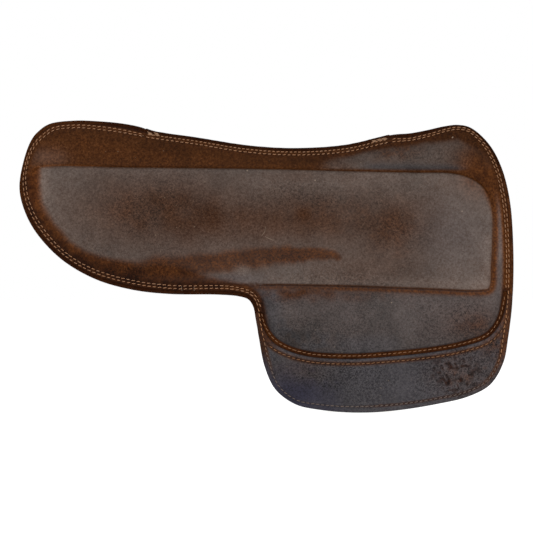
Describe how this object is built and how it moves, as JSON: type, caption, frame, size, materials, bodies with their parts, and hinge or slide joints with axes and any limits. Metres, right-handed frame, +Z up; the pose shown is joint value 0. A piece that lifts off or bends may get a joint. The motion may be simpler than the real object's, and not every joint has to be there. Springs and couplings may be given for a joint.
{
  "type": "leather saddle pad",
  "caption": "Contoured leather saddle pad folded along its spine: long rear lobe, front flap with a sewn lower band, raised padded panel and double-stitched bound edges.",
  "frame": {"origin": "middle of the part's box on the ground plane under the folded spine, z = 0 at the flap hems", "axes": "+X along the spine towards the withers end, +Z up, the off (right) half on -Y and the near (left) half on +Y"},
  "size_m": [0.7004, 0.0684, 0.4134],
  "materials": {
    "cover_leather": "waxed, burnished grey-brown with rust patches",
    "spine_leather": "waxed, matt rust-brown nap",
    "flap_leather": "waxed, slate with brown mottling",
    "edge_leather": "dark brown, folded edge",
    "core_felt": "pressed wool felt",
    "insert_foam": "matt closed-cell foam",
    "wool_lining": "brushed wool",
    "edge_thread": "waxed tan thread",
    "hem_thread": "waxed thread, worn grey-brown"
  },
  "bodies": {
    "spine": {"spine_welt": "edge_leather", "seam_end_tacks": "edge_thread", "spine_stitch_off": "edge_thread", "spine_stitch_near": "edge_thread", "off_top_leather": "spine_leather", "off_top_felt": "core_felt", "off_top_lining": "wool_lining", "off_lobe_binding": "edge_leather", "off_lobe_stitch": "edge_thread", "off_top_stitch": "edge_thread", "near_top_leather": "spine_leather", "near_top_felt": "core_felt", "near_top_lining": "wool_lining", "near_lobe_binding": "edge_leather", "near_lobe_stitch": "edge_thread", "near_top_stitch": "edge_thread"},
    "off_side": {"off_leather": "cover_leather", "off_foam_insert": "insert_foam", "off_felt_core": "core_felt", "off_lining": "wool_lining", "off_edge_binding": "edge_leather", "off_flap_welt": "edge_leather", "off_flap_band": "flap_leather", "off_flap_felt": "core_felt", "off_stitch_outer": "edge_thread", "off_stitch_inner": "edge_thread", "off_stitch_seam": "edge_thread", "off_stitch_band": "edge_thread", "off_stitch_hem": "hem_thread"},
    "near_side": {"near_leather": "cover_leather", "near_foam_insert": "insert_foam", "near_felt_core": "core_felt", "near_lining": "wool_lining", "near_edge_binding": "edge_leather", "near_flap_welt": "edge_leather", "near_flap_band": "flap_leather", "near_flap_felt": "core_felt", "near_stitch_outer": "edge_thread", "near_stitch_inner": "edge_thread", "near_stitch_seam": "edge_thread", "near_stitch_band": "edge_thread", "near_stitch_hem": "hem_thread"}
  },
  "joints": [
    {"name": "off_side_fold", "type": "hinge", "parent": "spine", "child": "off_side", "pos_m": [0, -0.0076, 0.3536], "axis": [-1, 0, 0], "range_deg": [-4, 71]},
    {"name": "near_side_fold", "type": "hinge", "parent": "spine", "child": "near_side", "pos_m": [0, 0.0076, 0.3536], "axis": [1, 0, 0], "range_deg": [-4, 71]}
  ]
}
